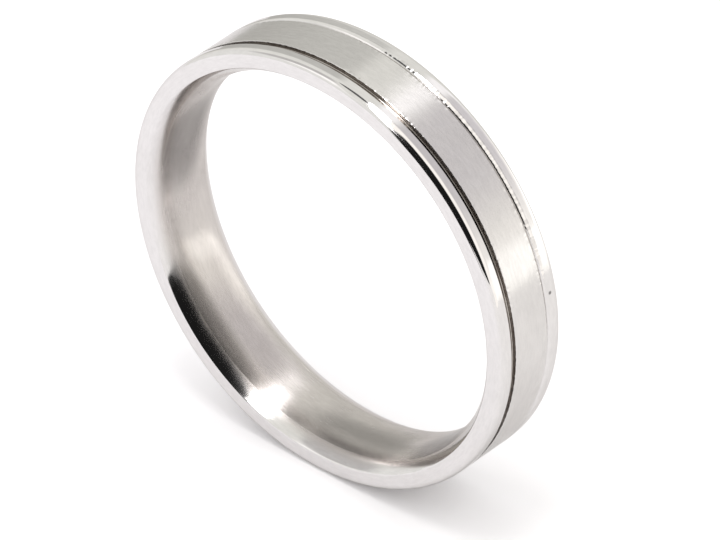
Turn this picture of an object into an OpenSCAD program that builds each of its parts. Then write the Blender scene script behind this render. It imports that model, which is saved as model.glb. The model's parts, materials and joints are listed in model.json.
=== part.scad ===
// Wedding band with a satin centre between two grooves and polished rims.
// Four rings make it up: a comfort-fit sleeve next to the finger, a centre band pressed
// onto it, and two rims that fit over the sleeve's ends and hold the centre band between them.
// The band stands upright: its axis is Y, the front rim faces -Y, and the origin is its centre.

/* [Band] */
// Diameter of the bore at its land, which is the finger size
finger_d = 18.5; // [14:0.1:23]
// Thickness of the wall in the middle of the band, from the land to the outside
wall = 1.5; // [1.4:0.05:1.8]
// Width of the band between its two side faces
band_w = 4; // [4:0.05:4.2]

/* [Comfort fit] */
// Length of the straight land in the middle of the bore
land_w = 0.6; // [0.4:0.1:0.8]
// Radius of the comfort curve from the land out to each side face
comfort_r = 2.55; // [2.45:0.05:2.8]
// Radius that breaks the edge between the comfort curve and each side face
inner_edge_r = 0.12; // [0.06:0.01:0.16]

/* [Outside] */
// Radius of the polished shoulder between each side face and the outside
shoulder_r = 0.35; // [0.2:0.05:0.4]
// Width of each groove
groove_w = 0.31; // [0.2:0.01:0.31]
// Depth of each groove below the outside
groove_depth = 0.22; // [0.1:0.01:0.25]
// Width of the satin centre band between the two grooves
centre_w = 2.05; // [1.9:0.05:2.05]
// Chamfer that breaks the four sharp edges of the grooves
groove_break = 0.02; // [0.01:0.01:0.03]

/* [Assembly] */
// Thickness of the sleeve at its land
sleeve_t = 0.8; // [0.7:0.05:0.9]
// Width of the bore that each rim makes, from the end of the sleeve to the side face
rim_bore_w = 0.62; // [0.52:0.02:0.62]

/* [Hidden] */
$fn = 180;

bore_r = finger_d / 2;
outer_r = bore_r + wall;
floor_r = outer_r - groove_depth;
seat_r = bore_r + sleeve_t;
half_w = band_w / 2;
half_centre = centre_w / 2;
half_sleeve = half_w - rim_bore_w;
groove_end = half_centre + groove_w;
// Each comfort curve is an arc about a point out in the wall, level with an end of the land.
curve_centre = [bore_r + comfort_r, land_w / 2];
// The inner edge's arc touches the side face and runs smoothly into the comfort curve.
edge_dist = comfort_r - inner_edge_r;
edge_y = half_w - inner_edge_r;
edge_rise = edge_y - curve_centre.y;
edge_centre = [curve_centre.x - sqrt(edge_dist ^ 2 - edge_rise ^ 2), edge_y];
edge_touch = curve_centre + (edge_centre - curve_centre) * comfort_r / edge_dist;
// How far a cutting shape runs on past the metal
spare = 1;
polish = [0.87, 0.86, 0.85];
satin = [0.72, 0.72, 0.71];

// Turns a section in the XY plane, X outwards and Y along the axis, into a ring.
// Section +Y becomes the front of the band, which is -Y.
module turned() {
    rotate([90, 0, 0])
        rotate_extrude()
            children();
}

// Rectangle from one radius to another and from one place along the axis to another
module block(r_low, r_high, y_low, y_high) {
    translate([r_low, y_low])
        square([r_high - r_low, y_high - y_low]);
}

// The metal behind the bore's land and its two comfort curves, out past the outside
module comfort_section() {
    block(bore_r, outer_r, -curve_centre.y, curve_centre.y);
    for (side = [-1, 1])
        translate([curve_centre.x, side * curve_centre.y])
            circle(r = comfort_r);
}

// What the inner edge's radius takes off the corner between bore and side face
module inner_edge_waste() {
    difference() {
        polygon([
            edge_centre,
            edge_touch,
            [bore_r, edge_touch.y],
            [bore_r, half_w + spare],
            [edge_centre.x, half_w + spare]
        ]);
        translate(edge_centre)
            circle(r = inner_edge_r);
    }
}

// What the shoulder's radius takes off the corner between outside and side face
module shoulder_waste() {
    difference() {
        block(outer_r - shoulder_r, outer_r + spare, half_w - shoulder_r, half_w + spare);
        translate([outer_r - shoulder_r, half_w - shoulder_r])
            circle(r = shoulder_r);
    }
}

// What a chamfer takes off the outside edge at y. The groove lies towards side, 1 or -1.
module groove_break_waste(y, side) {
    polygon([
        [outer_r + groove_break, y + side * groove_break],
        [outer_r + groove_break, y - side * 2 * groove_break],
        [outer_r - 2 * groove_break, y + side * groove_break]
    ]);
}

// Rim with its rebate: the groove's floor and the counterbore that fits over the sleeve
module rim_section() {
    difference() {
        intersection() {
            union() {
                block(bore_r, outer_r, half_sleeve, half_w);
                block(seat_r, outer_r, groove_end, half_sleeve);
                block(seat_r, floor_r, half_centre, groove_end);
            }
            comfort_section();
        }
        inner_edge_waste();
        shoulder_waste();
        groove_break_waste(groove_end, -1);
    }
}

module comfort_fit_sleeve() {
    color(polish)
        turned()
            intersection() {
                block(bore_r, seat_r, -half_sleeve, half_sleeve);
                comfort_section();
            }
}

module satin_centre_band() {
    color(satin)
        turned()
            difference() {
                block(seat_r, outer_r, -half_centre, half_centre);
                groove_break_waste(half_centre, 1);
                groove_break_waste(-half_centre, -1);
            }
}

module front_rim() {
    color(polish)
        turned()
            rim_section();
}

module back_rim() {
    color(polish)
        turned()
            mirror([0, 1])
                rim_section();
}

comfort_fit_sleeve();
satin_centre_band();
front_rim();
back_rim();
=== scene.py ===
"""Wedding band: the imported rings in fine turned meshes, with procedural metals, on a pale studio floor."""
import json
import math
import random

import bpy
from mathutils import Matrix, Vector


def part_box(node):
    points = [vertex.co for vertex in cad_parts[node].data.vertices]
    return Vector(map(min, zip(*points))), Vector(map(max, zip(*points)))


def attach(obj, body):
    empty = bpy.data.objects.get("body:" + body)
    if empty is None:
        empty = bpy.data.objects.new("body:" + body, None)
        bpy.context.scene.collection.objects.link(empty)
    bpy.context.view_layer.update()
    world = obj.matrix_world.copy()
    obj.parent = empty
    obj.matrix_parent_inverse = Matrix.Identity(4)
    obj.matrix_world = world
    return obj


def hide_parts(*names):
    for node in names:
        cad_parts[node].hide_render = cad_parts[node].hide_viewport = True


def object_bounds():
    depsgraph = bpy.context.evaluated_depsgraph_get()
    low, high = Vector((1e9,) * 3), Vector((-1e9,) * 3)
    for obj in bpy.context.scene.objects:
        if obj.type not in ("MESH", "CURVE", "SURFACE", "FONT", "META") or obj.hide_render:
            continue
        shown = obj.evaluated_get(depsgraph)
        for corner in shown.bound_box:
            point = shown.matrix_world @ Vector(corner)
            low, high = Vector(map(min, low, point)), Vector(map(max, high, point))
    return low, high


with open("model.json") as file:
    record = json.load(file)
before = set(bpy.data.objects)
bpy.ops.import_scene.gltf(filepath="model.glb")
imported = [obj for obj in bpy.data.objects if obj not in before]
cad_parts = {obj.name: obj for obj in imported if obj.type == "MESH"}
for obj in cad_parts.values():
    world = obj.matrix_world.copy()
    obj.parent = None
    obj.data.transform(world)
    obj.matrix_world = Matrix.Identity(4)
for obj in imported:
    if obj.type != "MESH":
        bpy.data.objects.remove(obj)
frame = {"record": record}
cad_low, cad_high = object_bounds()

MM = 0.001
BODY = "root"

# ---------------------------------------------------------------- sizes, from the frame and the design
sleeve_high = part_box("comfort_fit_sleeve")[1]
centre_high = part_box("satin_centre_band")[1]
finger_bore = next(m for m in frame["record"]["mounts"] if m["name"] == "finger_bore")

OUTER_R = cad_high.x
HALF_W = cad_high.y
HALF_CENTRE = centre_high.y
HALF_SLEEVE = sleeve_high.y
SEAT_R = sleeve_high.x
BORE_R = finger_bore["dims"]["r_mm"] * MM
HALF_LAND = finger_bore["dims"]["length_mm"] * MM / 2
GROOVE_W = 0.31 * MM
GROOVE_DEPTH = 0.22 * MM
COMFORT_R = 2.55 * MM           # radius of the bore's crown, either side of its flat land
INNER_EDGE_R = 0.12 * MM        # radius between the crown and a side face
FLOOR_R = OUTER_R - GROOVE_DEPTH
GROOVE_END = HALF_CENTRE + GROOVE_W
FLOOR_Z = cad_low.z

# ---------------------------------------------------------------- sizes of the finish
SHOULDER_FLAT_R = 0.47 * MM     # the shoulder's radius where it leaves the outside
SHOULDER_TIGHT_R = 0.31 * MM    # its radius from there round to the side face
SHOULDER_TURN = 25              # the angle where one becomes the other, in degrees
SEAM_BREAK = 0.003 * MM         # edge break either side of a joint between two rings
GROOVE_BREAK = 0.015 * MM       # edge break on the front rim's groove side
CORNER_R = 0.055 * MM           # fillet on the front groove's floor, beside the centre band
CORNER_END = 250                # the angle where that fillet stops, in degrees, from 180 on the floor
EASED_R = 0.39 * MM             # radius of the polished-over edge on the back rim's groove side
EASED_ANGLE = 28                # how steep that edge gets before it drops to the groove's floor, in degrees
WALL_ANGLE = 51                 # how steep the drop is
EASED_START = 0.02 * MM         # where the eased edge starts, outboard of the groove
BACK_FALL = 0.02 * MM           # how far the back rim's flat falls from its groove to its side face
SATIN_BREAK = 0.02 * MM         # edge break on the satin centre band
SATIN_SINK = 0.008 * MM         # the satin face lies this far under the box, so that its burrs stay inside

NICK_REACH = 0.09 * MM          # how far in from a corner of the satin its nicks and burrs reach
NICK_DEPTH = 0.02 * MM          # depth of a nick where the waves add up to -1
BURR_RISE = 0.9 * SATIN_SINK    # height of a burr where they add up to 1
BURR_SLIP = 0.016 * MM          # how far that burr pulls back from the groove
NICK_WAVES = 14                 # number of waves that make the nicks and burrs
NICK_RHYTHM = (90, 420)         # fewest and most periods of a wave round the band
WAVE_SPREAD = 5.0               # what the sum of the waves is divided by
FRONT_PHASE = 2.3               # keeps the nicks of the front edge out of step with the back edge's

BEADS = 277                     # beads that the tool's chatter leaves round the back groove's eased edge
BEAD_WIDTH = 0.19 * MM          # how far in from the groove's outer end they reach
BEAD_BELOW = 0.08 * MM          # nothing deeper than this under the outside is beaded
BEAD_DEPTH = 0.008 * MM
BEAD_MIDDLE = math.radians(55)  # the angle round the band where the beads are strongest
BEAD_START = 0.70               # cosine of the angle from there at which they start
BEAD_RISE = 0.16                # how much it grows until they are fully deep

# ---------------------------------------------------------------- fineness of the meshes
GUARD = 0.006 * MM              # distance of the support loops from a corner
LONG_RUN = 0.15 * MM            # straight runs longer than this get support loops
LONGEST = 0.14 * MM             # about the longest stretch of a cut-up run
LONGEST_SATIN = 0.10 * MM       # the same on the satin centre band
FRONT_SEGMENTS = 1080
BACK_SEGMENTS = 4 * BEADS
SLEEVE_SEGMENTS = 900
SATIN_SEGMENTS = 1440
SHARP = math.radians(22)        # corners that turn more than this shade sharp


# ---------------------------------------------------------------- sections
def arc(centre, radius, start, end, steps):
    """Points (r, y) along an arc, angles in degrees from +r towards +y."""
    points = []
    for i in range(steps + 1):
        a = math.radians(start + (end - start) * i / steps)
        points.append((centre[0] + radius * math.cos(a), centre[1] + radius * math.sin(a)))
    return points


def guarded(outline, longest):
    """The closed outline, its long straight runs cut up and with a support point beside each end."""
    points = []
    for (r0, y0), (r1, y1) in zip(outline, outline[1:] + outline[:1]):
        length = math.hypot(r1 - r0, y1 - y0)
        points.append((r0, y0))
        if length < LONG_RUN:
            continue
        cuts = [GUARD / length, 1 - GUARD / length]
        count = max(1, round(length / longest))
        cuts += [i / count for i in range(1, count)]
        for t in sorted(cuts):
            points.append((r0 + (r1 - r0) * t, y0 + (y1 - y0) * t))
    return points


CURVE_CENTRE = (BORE_R + COMFORT_R, HALF_LAND)


def comfort_angle(y):
    """Angle about the comfort curve's centre, in degrees, at which the bore is at y."""
    return 180 - math.degrees(math.asin((y - CURVE_CENTRE[1]) / COMFORT_R))


def inner_edge():
    """Centre of the inner edge's radius and the angle where it leaves the comfort curve."""
    reach = COMFORT_R - INNER_EDGE_R
    y = HALF_W - INNER_EDGE_R
    r = CURVE_CENTRE[0] - math.sqrt(reach ** 2 - (y - CURVE_CENTRE[1]) ** 2)
    angle = math.degrees(math.atan2(y - CURVE_CENTRE[1], r - CURVE_CENTRE[0]))
    return (r, y), angle


def shoulder():
    """The rim's outer shoulder, from the side face to the outside: a tight curve, then a flatter one."""
    turn = math.radians(SHOULDER_TURN)
    spread = SHOULDER_FLAT_R - SHOULDER_TIGHT_R
    tight_centre = (
        OUTER_R - SHOULDER_FLAT_R + spread * math.cos(turn),
        HALF_W - SHOULDER_TIGHT_R,
    )
    flat_centre = (OUTER_R - SHOULDER_FLAT_R, tight_centre[1] - spread * math.sin(turn))
    points = arc(tight_centre, SHOULDER_TIGHT_R, 90, SHOULDER_TURN, steps=18)
    return points + arc(flat_centre, SHOULDER_FLAT_R, SHOULDER_TURN, 0, steps=9)[1:]


def groove_edge_sharp():
    """A rim's groove side with a crisp edge and an upright wall, from the outside down to the floor."""
    fillet_centre = (FLOOR_R + CORNER_R, HALF_CENTRE + CORNER_R)
    fillet = arc(fillet_centre, CORNER_R, 180, CORNER_END, steps=5)
    return [
        (OUTER_R, GROOVE_END + GROOVE_BREAK),
        (OUTER_R - GROOVE_BREAK, GROOVE_END),
        (FLOOR_R, GROOVE_END),
    ] + fillet


def groove_edge_eased():
    """A rim's groove side with a rolled-over edge and a sloping wall, from the outside to the floor."""
    start = GROOVE_END + EASED_START
    points = arc((OUTER_R - EASED_R, start), EASED_R, 0, -EASED_ANGLE, steps=10)
    r, y = points[-1]
    steep = math.radians(WALL_ANGLE)
    points.append((FLOOR_R, y - (r - FLOOR_R) / math.tan(steep)))
    return points


def rim_outline(groove_edge):
    """Section of a rim at +Y, from the sleeve's end along the bore and round to the seat on the sleeve."""
    edge_centre, edge_angle = inner_edge()
    outline = []
    start_angle = comfort_angle(HALF_SLEEVE + SEAM_BREAK)
    outline += arc(CURVE_CENTRE, COMFORT_R, start_angle, edge_angle, steps=12)
    outline += arc(edge_centre, INNER_EDGE_R, edge_angle, 90, steps=8)[1:]
    outline += shoulder()
    outline += groove_edge
    outline += [(SEAT_R, HALF_CENTRE), (SEAT_R, HALF_SLEEVE)]
    r_end = CURVE_CENTRE[0] + COMFORT_R * math.cos(math.radians(comfort_angle(HALF_SLEEVE)))
    outline += [(r_end + SEAM_BREAK, HALF_SLEEVE)]
    return outline


def sleeve_outline():
    """Section of the sleeve: land and comfort curves inside, seat outside."""
    half = arc(CURVE_CENTRE, COMFORT_R, 180, comfort_angle(HALF_SLEEVE - SEAM_BREAK), steps=16)
    r_end = CURVE_CENTRE[0] + COMFORT_R * math.cos(math.radians(comfort_angle(HALF_SLEEVE)))
    half += [(r_end + SEAM_BREAK, HALF_SLEEVE), (SEAT_R, HALF_SLEEVE)]
    other = [(r, -y) for r, y in reversed(half)]
    return half + other


def centre_outline():
    """Section of the satin centre band."""
    top = OUTER_R - SATIN_SINK
    half = [(top, HALF_CENTRE - SATIN_BREAK), (top - SATIN_BREAK, HALF_CENTRE), (SEAT_R, HALF_CENTRE)]
    other = [(r, -y) for r, y in reversed(half)]
    return other + half


def mirrored(outline):
    """The same section on the -Y side, still in the same turning order."""
    return [(r, -y) for r, y in reversed(outline)]


# ---------------------------------------------------------------- turning
def turned(name, outline, segments, shape=None):
    """A closed ring from a closed section. shape, if given, moves a point: shape(angle, r, y) -> (r, y)."""
    count = len(outline)
    verts = []
    for s in range(segments):
        a = 2 * math.pi * s / segments
        for r, y in outline:
            new_r, new_y = shape(a, r, y) if shape else (r, y)
            verts.append((new_r * math.cos(a), new_y, new_r * math.sin(a)))
    faces = []
    for s in range(segments):
        here, there = s * count, (s + 1) % segments * count
        for i in range(count):
            j = (i + 1) % count
            faces.append((here + i, there + i, there + j, here + j))
    mesh = bpy.data.meshes.new(name)
    mesh.from_pydata(verts, [], faces)
    mesh.validate()
    winding = sum(r0 * y1 - r1 * y0 for (r0, y0), (r1, y1) in zip(outline, outline[1:] + outline[:1]))
    if winding > 0:
        mesh.flip_normals()
    mesh.shade_smooth()
    mesh.set_sharp_from_angle(angle=SHARP)
    obj = bpy.data.objects.new(name, mesh)
    bpy.context.scene.collection.objects.link(obj)
    return obj


def place(obj, node, material):
    """Puts a finished ring in for its CAD node."""
    obj.data.materials.append(material)
    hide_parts(node)
    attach(obj, BODY)


# ---------------------------------------------------------------- materials
class Nodes:
    """A short way to write a node tree."""

    def __init__(self, owner):
        self.tree = owner.node_tree
        self.tree.nodes.clear()

    def add(self, kind, **values):
        node = self.tree.nodes.new("ShaderNode" + kind)
        for key, value in values.items():
            setattr(node, key, value)
        return node

    def link(self, source, target):
        self.tree.links.new(source, target)

    def put(self, value, socket):
        if isinstance(value, bpy.types.NodeSocket):
            self.link(value, socket)
        else:
            socket.default_value = value

    def math(self, operation, a, b=0.0):
        node = self.add("Math", operation=operation)
        self.put(a, node.inputs[0])
        self.put(b, node.inputs[1])
        return node.outputs[0]

    def product(self, first, *others):
        for other in others:
            first = self.math("MULTIPLY", first, other)
        return first

    def total(self, first, *others):
        for other in others:
            first = self.math("ADD", first, other)
        return first

    def weighted(self, *pairs):
        """The sum of the pairs' products."""
        return self.total(*[self.product(value, weight) for value, weight in pairs])

    def ramp(self, value, low, high, to_low=0.0, to_high=1.0):
        node = self.add("MapRange", interpolation_type="SMOOTHSTEP")
        self.put(value, node.inputs["Value"])
        node.inputs["From Min"].default_value = low
        node.inputs["From Max"].default_value = high
        node.inputs["To Min"].default_value = to_low
        node.inputs["To Max"].default_value = to_high
        return node.outputs["Result"]

    def scaled(self, colour, amount):
        node = self.add("VectorMath", operation="SCALE")
        self.put(colour, node.inputs[0])
        self.put(amount, node.inputs["Scale"])
        return node.outputs[0]

    def mix(self, factor, a, b):
        node = self.add("Mix", data_type="RGBA")
        self.put(factor, node.inputs["Factor"])
        self.put(a, node.inputs["A"])
        self.put(b, node.inputs["B"])
        return node.outputs["Result"]

    def coordinates(self, kind):
        """Texture coordinates of that kind, as a vector and as x, y and z."""
        vector = self.add("TexCoord").outputs[kind]
        split = self.add("SeparateXYZ")
        self.link(vector, split.inputs[0])
        return vector, split.outputs

    def noise(self, vector, w, scale, detail, rough):
        """Noise in four dimensions, or in three if w is None."""
        node = self.add("TexNoise", noise_dimensions="3D" if w is None else "4D")
        self.link(vector, node.inputs["Vector"])
        if w is not None:
            self.link(w, node.inputs["W"])
        node.inputs["Scale"].default_value = scale
        node.inputs["Detail"].default_value = detail
        node.inputs["Roughness"].default_value = rough
        return node.outputs["Fac"]

    def finish(self, surface, kind="OutputMaterial"):
        self.link(surface, self.add(kind).inputs["Surface"])


def new_material(name):
    material = bpy.data.materials.new(name)
    material.use_nodes = True
    return material, Nodes(material)


def distance_from_axis(n, x, z):
    return n.math("SQRT", n.weighted((x, x), (z, z)))


def ring_noise(n, around, across, detail=2.0, rough=0.5):
    """Noise drawn out round the band, without a seam. around is features per radian, across per metre."""
    x, y, z = n.coordinates("Object")[1]
    radius = distance_from_axis(n, x, z)
    join = n.add("CombineXYZ")
    n.link(n.product(n.math("DIVIDE", x, radius), around), join.inputs[0])
    n.link(n.product(n.math("DIVIDE", z, radius), around), join.inputs[1])
    n.link(n.product(y, across), join.inputs[2])
    return n.noise(join.outputs[0], n.product(radius, across), 1.0, detail, rough)


# noise of all the metals: scale, detail, roughness
SMUDGE = (420.0, 4.0, 0.6)
# ring noise: around, across, detail, roughness
GRAIN = (22.0, 9000.0, 3.0, 0.65)
# patches of the painted shade in the grooves
GROOVE_SHADE_PATCHES = (9.0, 3000.0, 3.0, 0.7)
TICKS = (75.0, 800.0, 1.0, 0.5)

GRAIN_TONES = (0.955, 1.035)                 # the grain's darkest and lightest tone
TICK_TONES = (1.04, 0.84)                    # the tone between the ticks on the beads, and on them
GRAZING_TINT = (0.75, 0.74, 0.73, 1)         # tint of the metals' reflections at grazing angles
# light and dark patches of the painted shade in the grooves
GROOVE_SHADE_LIGHT = (0.42, 0.395, 0.37, 1)
GROOVE_SHADE_DARK = (0.28, 0.25, 0.23, 1)
BRUSHED_ROUND = 0.25                         # a quarter turn, so that highlights spread across the marks
SEAT_FADE = 0.10 * MM                        # how far above the seat's radius a look fades
WORN_END = HALF_W - 0.10 * MM                # where a rim's bore side has its own polish back
GROOVE_TOP = OUTER_R - 0.055 * MM            # painted shade lies in the grooves from this radius down
# how far the painted groove shade fades in above that radius
GROOVE_SHADE_FADE = 0.03 * MM
GROOVE_SHADE_SPILL = 0.06 * MM                    # how far the painted groove shade goes outboard of a groove
SHADE_AND_TICK_SIDE = (0.643, 0.766)                 # x and z of the way in which the painted groove shade and the ticks are strongest


def worn_share(n, radius, y):
    """1 on a rim's bore side beside the sleeve, falling to 0 at its inner edge and above the seat."""
    along = n.ramp(n.math("ABSOLUTE", y), HALF_SLEEVE, WORN_END, 1.0, 0.0)
    return n.product(along, n.ramp(radius, SEAT_R, SEAT_R + SEAT_FADE, 1.0, 0.0))


def with_groove_shade(n, base, x, y, z, radius, top):
    """The colour with patchy painted shade in the grooves, strongest on the front rim and towards one side,
    and ticks on the beads of the back groove's edge.
    """
    deep = n.ramp(radius, top - GROOVE_SHADE_FADE, top, 1.0, 0.0)
    in_groove = n.ramp(n.math("ABSOLUTE", y), GROOVE_END, GROOVE_END + GROOVE_SHADE_SPILL, 1.0, 0.0)
    above_seat = n.ramp(radius, SEAT_R, SEAT_R + SEAT_FADE)
    side = n.weighted((x, SHADE_AND_TICK_SIDE[0]), (z, SHADE_AND_TICK_SIDE[1]))
    more_on_side = n.ramp(side, 0.2 * OUTER_R, 0.65 * OUTER_R, 0.35, 1.0)
    less_at_back = n.ramp(y, -0.5 * MM, 0.5 * MM, 1.0, 0.3)
    # painted shade: deep in the grooves, stronger towards one side and on the front rim than on the back
    groove_shade = n.product(deep, in_groove, above_seat, more_on_side, less_at_back)
    patches = n.ramp(ring_noise(n, *GROOVE_SHADE_PATCHES), 0.35, 0.65)
    base = n.mix(groove_shade, base, n.mix(patches, GROOVE_SHADE_LIGHT, GROOVE_SHADE_DARK))

    beaded = n.ramp(y, GROOVE_END - 0.20 * MM, GROOVE_END - 0.14 * MM)
    beaded = n.product(beaded, in_groove, n.ramp(side, 0.80 * OUTER_R, 0.92 * OUTER_R))
    ticks = n.ramp(ring_noise(n, *TICKS), 0.40, 0.60, *TICK_TONES)
    return n.mix(beaded, base, n.scaled(base, ticks))


def with_pits_and_painted_reflections(n, base, x, y, z, smudge, pits_and_painted_reflections):
    """The colour with soft dull patches: a pit on a rim, and painted dark reflections in the bore where it
    mirrors shade. A patch is its angle in degrees, its y, its half angle, its half width and how much of the
    colour is left."""
    angle = n.math("ARCTAN2", n.product(z, -1.0), n.product(x, -1.0))
    for at, middle, half_angle, half_width, left in pits_and_painted_reflections:
        around = n.math("SUBTRACT", angle, math.radians(at - 180))
        around = n.math("DIVIDE", around, math.radians(half_angle))
        across = n.math("DIVIDE", n.math("SUBTRACT", y, middle), half_width)
        uneven = n.product(n.math("SUBTRACT", smudge, 0.5), 1.2)
        far = n.total(n.weighted((around, around), (across, across)), uneven)
        base = n.mix(n.ramp(far, 0.1, 1.5, 1.0, 0.0), base, n.scaled(base, left))
    return base


def metal(name, colours, rough, anisotropy, marks, mark_depth, groove_shade_top=None, pits_and_painted_reflections=(), worn=None):
    """A white metal, brushed round the band. colours and rough are each the two that it wanders between.
    marks is a list of (around, across, weight) for its scratches. The radius given for the groove tops is the
    one under which painted shade darkens the grooves. worn is the colour and roughness of a rim's bore side
    beside the sleeve."""
    material, n = new_material(name)
    shader = n.add("BsdfPrincipled")
    shader.inputs["Metallic"].default_value = 1.0
    shader.inputs["Specular Tint"].default_value = GRAZING_TINT
    shader.inputs["Anisotropic"].default_value = anisotropy
    if anisotropy:
        shader.inputs["Anisotropic Rotation"].default_value = BRUSHED_ROUND
        tangent = n.add("Tangent", direction_type="RADIAL", axis="Y")
        n.link(tangent.outputs[0], shader.inputs["Tangent"])

    position, (x, y, z) = n.coordinates("Object")
    radius = distance_from_axis(n, x, z)
    smudge = n.noise(position, None, *SMUDGE)
    base = n.mix(n.ramp(smudge, 0.3, 0.7), *colours)
    base = n.scaled(base, n.ramp(ring_noise(n, *GRAIN), 0.3, 0.7, *GRAIN_TONES))
    if worn:
        worn_colour, worn_rough = worn
        share = worn_share(n, radius, y)
        base = n.mix(share, base, worn_colour)
    if groove_shade_top:
        base = with_groove_shade(n, base, x, y, z, radius, groove_shade_top)
    base = with_pits_and_painted_reflections(n, base, x, y, z, smudge, pits_and_painted_reflections)
    n.link(base, shader.inputs["Base Color"])

    height = n.weighted(*[(ring_noise(n, around, across), weight) for around, across, weight in marks])
    smudged = n.ramp(smudge, 0.35, 0.65)
    scratched = n.ramp(height, 0.3, 0.7)
    roughness = n.ramp(n.weighted((smudged, 0.6), (scratched, 0.4)), 0.0, 1.0, *rough)
    if worn:
        roughness = n.total(roughness, n.product(share, worn_rough - rough[0]))
    n.link(roughness, shader.inputs["Roughness"])

    bump = n.add("Bump")
    bump.inputs["Strength"].default_value = 1.0
    bump.inputs["Distance"].default_value = mark_depth
    n.link(height, bump.inputs["Height"])
    n.link(bump.outputs[0], shader.inputs["Normal"])
    n.finish(shader.outputs[0])
    return material


def polished_metal():
    return metal(
        "polished_white_metal",
        colours=((0.684, 0.667, 0.663, 1), (0.663, 0.646, 0.641, 1)),
        rough=(0.05, 0.11),
        anisotropy=0.0,
        marks=[(14.0, 26000.0, 0.6), (5.0, 60000.0, 0.4)],
        mark_depth=0.0006 * MM,
        # painted shade darkens the grooves under this radius
        groove_shade_top=GROOVE_TOP,
        pits_and_painted_reflections=[(11.6, 1.42 * MM, 0.5, 0.10 * MM, 0.25)],  # one small pit on the back rim's flat
        worn=((0.539, 0.506, 0.486, 1), 0.24),
    )


def satin_metal():
    return metal(
        "satin_white_metal",
        colours=((0.646, 0.628, 0.618, 1), (0.607, 0.590, 0.580, 1)),
        rough=(0.17, 0.24),
        anisotropy=0.8,
        marks=[(30.0, 30000.0, 0.5), (9.0, 70000.0, 0.5)],
        mark_depth=0.0012 * MM,
        # painted shade darkens the grooves and the satin band's side walls under this radius
        groove_shade_top=GROOVE_TOP + 0.02 * MM,
    )


def bore_metal():
    return metal(
        "bore_white_metal",
        colours=((0.556, 0.524, 0.504, 1), (0.513, 0.482, 0.465, 1)),
        rough=(0.20, 0.28),
        anisotropy=0.9,
        marks=[(10.0, 16000.0, 0.6), (4.0, 50000.0, 0.4)],
        mark_depth=0.0012 * MM,
        # painted dark reflections: the bore darkened where it mirrors the shadowed floor and the unlit front
        pits_and_painted_reflections=[
            (166, -0.25 * MM, 19, 1.3 * MM, 0.52),
            (225, -1.25 * MM, 20, 0.7 * MM, 0.50),
            (279, -0.70 * MM, 20, 1.1 * MM, 0.66),
            (313, -1.00 * MM, 14, 1.3 * MM, 0.55),
        ],
    )


# ---------------------------------------------------------------- wear of the groove edges
def ragged_edges():
    """A shape function that nicks and burrs the two outer edges of the satin band, the same each run."""
    rng = random.Random(7)
    waves = [
        (rng.randint(*NICK_RHYTHM), rng.uniform(0, 2 * math.pi), rng.uniform(0.5, 1.0))
        for _ in range(NICK_WAVES)
    ]

    def shape(a, r, y):
        beside_groove = max(0.0, 1 - (HALF_CENTRE - abs(y)) / NICK_REACH)
        near = beside_groove * max(0.0, 1 - (OUTER_R - r) / NICK_REACH)
        if near <= 0:
            return r, y
        phase = 1 if y > 0 else FRONT_PHASE
        wave = sum(w * math.sin(k * a + p * phase) for k, p, w in waves) / WAVE_SPREAD
        lift = BURR_RISE * max(0.0, wave) - NICK_DEPTH * max(0.0, -wave)
        return r + near * lift, y - math.copysign(near * BURR_SLIP * max(0.0, wave), y)

    return shape


def beaded_edge():
    """A shape function for the back rim: its flat falls away, and chatter beads its rolled-over edge."""
    rng = random.Random(11)
    heights = [rng.uniform(0.2, 1.0) for _ in range(BEADS)]
    low, high = GROOVE_END - BEAD_WIDTH, GROOVE_END

    def shape(a, r, y):
        if y > GROOVE_END and r > FLOOR_R:
            return r - BACK_FALL * min(1.0, (y - GROOVE_END) / (HALF_W - GROOVE_END)), y
        if not (low < y < high and r > OUTER_R - BEAD_BELOW):
            return r, y
        turn = a / (2 * math.pi) * BEADS
        dip = (0.5 - 0.5 * math.cos(2 * math.pi * turn)) * heights[int(turn) % BEADS]
        dip *= min(1.0, max(0.0, (math.cos(a - BEAD_MIDDLE) - BEAD_START) / BEAD_RISE))
        across = math.sin(math.pi * (y - low) / (high - low))
        return r - BEAD_DEPTH * dip * across, y + BEAD_DEPTH * dip * across

    return shape


# ---------------------------------------------------------------- the band
def make_front_rim(polished):
    section = mirrored(guarded(rim_outline(groove_edge_sharp()), LONGEST))
    front = turned("front_rim_metal", section, FRONT_SEGMENTS)
    place(front, "front_rim", polished)


def make_back_rim(polished):
    section = guarded(rim_outline(groove_edge_eased()), LONGEST)
    back = turned("back_rim_metal", section, BACK_SEGMENTS, beaded_edge())
    place(back, "back_rim", polished)


def make_sleeve():
    sleeve = turned("comfort_fit_sleeve_metal", guarded(sleeve_outline(), LONGEST), SLEEVE_SEGMENTS)
    place(sleeve, "comfort_fit_sleeve", bore_metal())


def make_centre():
    section = guarded(centre_outline(), LONGEST_SATIN)
    centre = turned("satin_centre_band_metal", section, SATIN_SEGMENTS, ragged_edges())
    place(centre, "satin_centre_band", satin_metal())


def make_band():
    polished = polished_metal()
    make_front_rim(polished)
    make_back_rim(polished)
    make_sleeve()
    make_centre()


# ---------------------------------------------------------------- floor, light and camera, in metres
PAPER = (-0.13, -0.115, 0.10, 0.045)         # the sheet's left, front, right and back edges
PAPER_PALE = (0.95, 0.935, 0.945, 1)
PAPER_SHADED = (0.88, 0.865, 0.85, 1)
TOWARDS_BACK = (0.75, 0.66)                  # x and y of the way in which painted shade makes the paper darker
LEDGE_X = 0.085
LEDGE_NEAR, LEDGE_FAR = -0.20, -0.004        # its ends along Y
LEDGE_TOP = 0.006
LEDGE_COLOUR = (1.0, 0.985, 0.97, 1)
LEDGE_GLOW = 1.20


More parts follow.
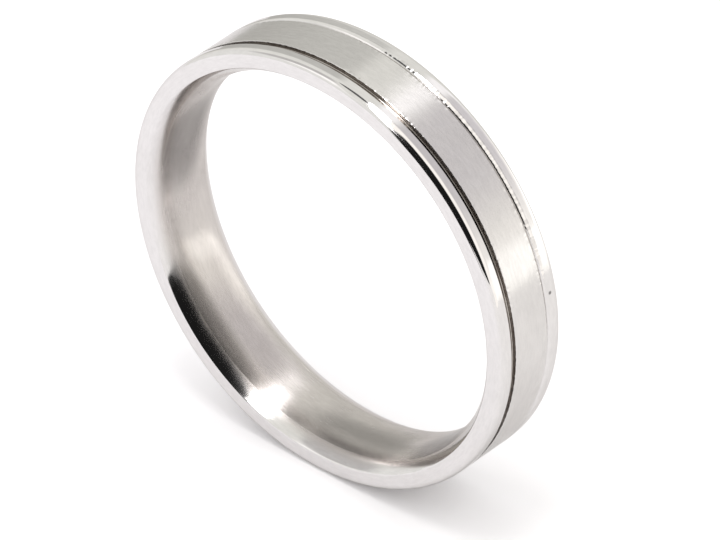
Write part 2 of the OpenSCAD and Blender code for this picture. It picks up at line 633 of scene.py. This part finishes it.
def card(name, corners, material):
    """A flat sheet between four corners."""
    mesh = bpy.data.meshes.new(name)
    mesh.from_pydata(corners, [], [(0, 1, 2, 3)])
    mesh.materials.append(material)
    sheet = bpy.data.objects.new(name, mesh)
    bpy.context.scene.collection.objects.link(sheet)
    return sheet


def make_floor():
    """A sheet of pale paper, with painted shade making it a little darker towards the back right."""
    material, n = new_material("floor_paper")
    x, y, _ = n.coordinates("Object")[1]
    across = n.weighted((x, TOWARDS_BACK[0]), (y, TOWARDS_BACK[1]))
    shader = n.add("BsdfPrincipled")
    # painted shade: the paper darker towards the back right
    n.link(n.mix(n.ramp(across, -0.02, 0.035), PAPER_PALE, PAPER_SHADED), shader.inputs["Base Color"])
    shader.inputs["Roughness"].default_value = 0.9
    shader.inputs["Specular IOR Level"].default_value = 0.1
    n.finish(shader.outputs[0])

    left, front, right, back = PAPER
    outline = [(left, front), (right, front), (right, back), (left, back)]
    floor = card("floor", [(x, y, FLOOR_Z) for x, y in outline], material)


def make_ledge():
    """A low pale ledge right of the paper's front, seen only in the metal. Above it the studio is unlit."""
    material, n = new_material("ledge_card")
    glow = n.add("Emission")
    glow.inputs["Color"].default_value = LEDGE_COLOUR
    glow.inputs["Strength"].default_value = LEDGE_GLOW
    n.finish(glow.outputs[0])

    outline = [(LEDGE_NEAR, FLOOR_Z), (LEDGE_FAR, FLOOR_Z), (LEDGE_FAR, LEDGE_TOP), (LEDGE_NEAR, LEDGE_TOP)]
    ledge = card("ledge", [(LEDGE_X, y, z) for y, z in outline], material)
    ledge.visible_camera = False
    ledge.visible_diffuse = False
    ledge.visible_shadow = False


# the softbox overhead, in panels from front to back: front edge, back edge, middle in x, radiance
PANELS = (
    (-0.46, -0.30, -0.0220, 6.0),
    (-0.30, -0.19, -0.0040, 10.0),
    (-0.19, 0.06, 0.0075, 5.0),
    (0.06, 0.13, 0.0040, 3.0),
)
PANEL_WIDTH = 0.059
PANEL_HEIGHT = 0.30
PANEL_COLOUR = (1.0, 0.985, 1.0)
KEY_STRENGTH = 0.45
KEY_ANGLE = math.radians(16)
KEY_DIRECTION = (-0.04, 0.16, -1.0)


def make_lights():
    """A long narrow softbox overhead for the metal, and a soft key that only the floor gets."""
    for number, (front, back, middle, radiance) in enumerate(PANELS):
        lamp = bpy.data.lights.new("softbox_%d" % number, "AREA")
        lamp.shape = "RECTANGLE"
        lamp.size = PANEL_WIDTH
        lamp.size_y = back - front
        lamp.energy = radiance * math.pi * lamp.size * lamp.size_y
        lamp.color = PANEL_COLOUR
        panel = bpy.data.objects.new("softbox_%d" % number, lamp)
        panel.location = (middle, (front + back) / 2, PANEL_HEIGHT)
        panel.visible_diffuse = False
        bpy.context.scene.collection.objects.link(panel)

    sun = bpy.data.lights.new("floor_key", "SUN")
    sun.energy = KEY_STRENGTH
    sun.angle = KEY_ANGLE
    key = bpy.data.objects.new("floor_key", sun)
    key.rotation_mode = "QUATERNION"
    key.rotation_quaternion = Vector(KEY_DIRECTION).to_track_quat("-Z", "Y")
    key.visible_glossy = False
    bpy.context.scene.collection.objects.link(key)


EXPOSURE = 1.17                              # of all that the metal sees of the studio
PAPER_LIGHT = 1.22                           # even light from all round, for the paper only
BACKDROP = 1.1                               # what the camera sees past the paper


def grey(value, red=1.0, blue=1.0):
    return (value * red, value, value * blue, 1)


def plane(n, direction, a, b, c):
    """How far a direction leans towards (a, b, c)."""
    x, y, z = direction
    return n.weighted((x, a), (y, b), (z, c))


# in the next two, each line paints over the last: its ramp runs along a direction's x, y or z, with the first
# colour below it and the second above
def right_side(n, y, z):
    """Grey wall at the back, brighter down to a bright horizon, cream beside."""
    wall = n.mix(n.ramp(z, 0.12, 0.60), grey(1.0, 1.02, 0.96), grey(0.65, 1.03, 1.02))
    wall = n.mix(n.ramp(z, 0.05, 0.13), grey(1.36, 1.01, 0.97), wall)
    wall = n.mix(n.ramp(z, -0.20, -0.12), grey(1.08, 1.01, 0.96), wall)
    wall = n.mix(n.ramp(y, 0.60, 0.72), wall, n.scaled(wall, 1.25))
    return n.mix(n.ramp(y, 0.20, 0.50), grey(1.22, 1.03, 0.95), wall)


def left_side(n, x, y, z):
    """Pale in front and beside, grey at the back and between, with a pale stripe towards the softbox."""
    wall = n.mix(n.ramp(y, 0.35, 0.52), grey(0.93, 1.0, 0.95), grey(0.63, 1.0, 0.95))
    wall = n.mix(n.ramp(y, 0.61, 0.72), wall, grey(0.86, 1.0, 0.95))
    wall = n.mix(n.ramp(y, -0.18, 0.0), grey(0.60, 1.02, 0.98), wall)
    wall = n.mix(n.ramp(y, -0.62, -0.45), grey(1.30, 1.01, 0.98), wall)
    low = n.product(n.ramp(z, 0.30, 0.48, 1.0, 0.0), n.ramp(y, 0.1, 0.3, 1.0, 0.0))
    wall = n.mix(low, wall, grey(0.94, 1.0, 0.97))
    stripe = n.product(n.ramp(x, -0.44, -0.34), n.ramp(z, 0.3, 0.5))
    return n.mix(stripe, wall, grey(0.90, 1.0, 0.95))


def make_room():
    """The studio as the metal sees it, by direction: two pale sides, a glow overhead, the unlit front."""
    world = bpy.data.worlds.new("studio")
    bpy.context.scene.world = world
    world.use_nodes = True
    world.cycles.sampling_method = "NONE"
    n = Nodes(world)
    direction = n.coordinates("Generated")[1]
    x, y, z = direction
    room = n.mix(n.ramp(x, 0.02, 0.16), left_side(n, x, y, z), right_side(n, y, z))

    # overhead: where the softbox's far end glows on, and a small dark fitting beside it
    glow = n.product(n.ramp(x, -0.12, -0.04), n.ramp(x, 0.04, 0.12, 1.0, 0.0), n.ramp(z, 0.2, 0.5))
    room = n.mix(glow, room, grey(1.16, 1.01, 1.0))
    fitting = n.ramp(plane(n, direction, -0.198, -0.03, 0.98), 0.984, 0.990)
    room = n.mix(fitting, room, grey(0.12))

    # in front: unlit from straight ahead round to the right
    ahead = n.ramp(y, -0.21, -0.11, 1.0, 0.0)
    unlit = n.product(ahead, n.ramp(plane(n, direction, 0.921, -0.24, -0.305), -0.02, 0.02))
    room = n.mix(unlit, room, grey(0.012))

    path = n.add("LightPath")
    from_paper = n.math("GREATER_THAN", path.outputs["Diffuse Depth"], 0.5)
    room = n.mix(from_paper, n.scaled(room, EXPOSURE), grey(PAPER_LIGHT))
    room = n.mix(path.outputs["Is Camera Ray"], room, grey(BACKDROP))
    background = n.add("Background")
    n.link(room, background.inputs["Color"])
    n.finish(background.outputs[0], "OutputWorld")


CAMERA_AZIMUTH = math.radians(41.27)         # from -Y towards +X
CAMERA_ELEVATION = math.radians(36.29)
CAMERA_DISTANCE = 38.4 * OUTER_R
CAMERA_LENS = 472.5                          # in mm, on a sensor 36 mm wide
AIM_RIGHT, AIM_DOWN = 0.0626 * OUTER_R, 0.0705 * OUTER_R  # from the band's centre, as the camera sees it


def make_camera():
    """A long lens from the front right and above. The band sits a little left of and above the middle."""
    back = Vector((
        math.sin(CAMERA_AZIMUTH) * math.cos(CAMERA_ELEVATION),
        -math.cos(CAMERA_AZIMUTH) * math.cos(CAMERA_ELEVATION),
        math.sin(CAMERA_ELEVATION),
    ))
    turn = (-back).to_track_quat("-Z", "Y")
    aim = turn @ Vector((AIM_RIGHT, -AIM_DOWN, 0))
    data = bpy.data.cameras.new("camera")
    data.sensor_width = 36.0
    data.lens = CAMERA_LENS
    data.clip_start, data.clip_end = 0.01, 20.0
    camera = bpy.data.objects.new("camera", data)
    camera.rotation_mode = "QUATERNION"
    camera.rotation_quaternion = turn
    camera.location = back * CAMERA_DISTANCE + aim
    bpy.context.scene.collection.objects.link(camera)
    bpy.context.scene.camera = camera


make_band()
make_floor()
make_ledge()
make_lights()
make_room()
make_camera()
bpy.context.scene.view_settings.view_transform = "Standard"
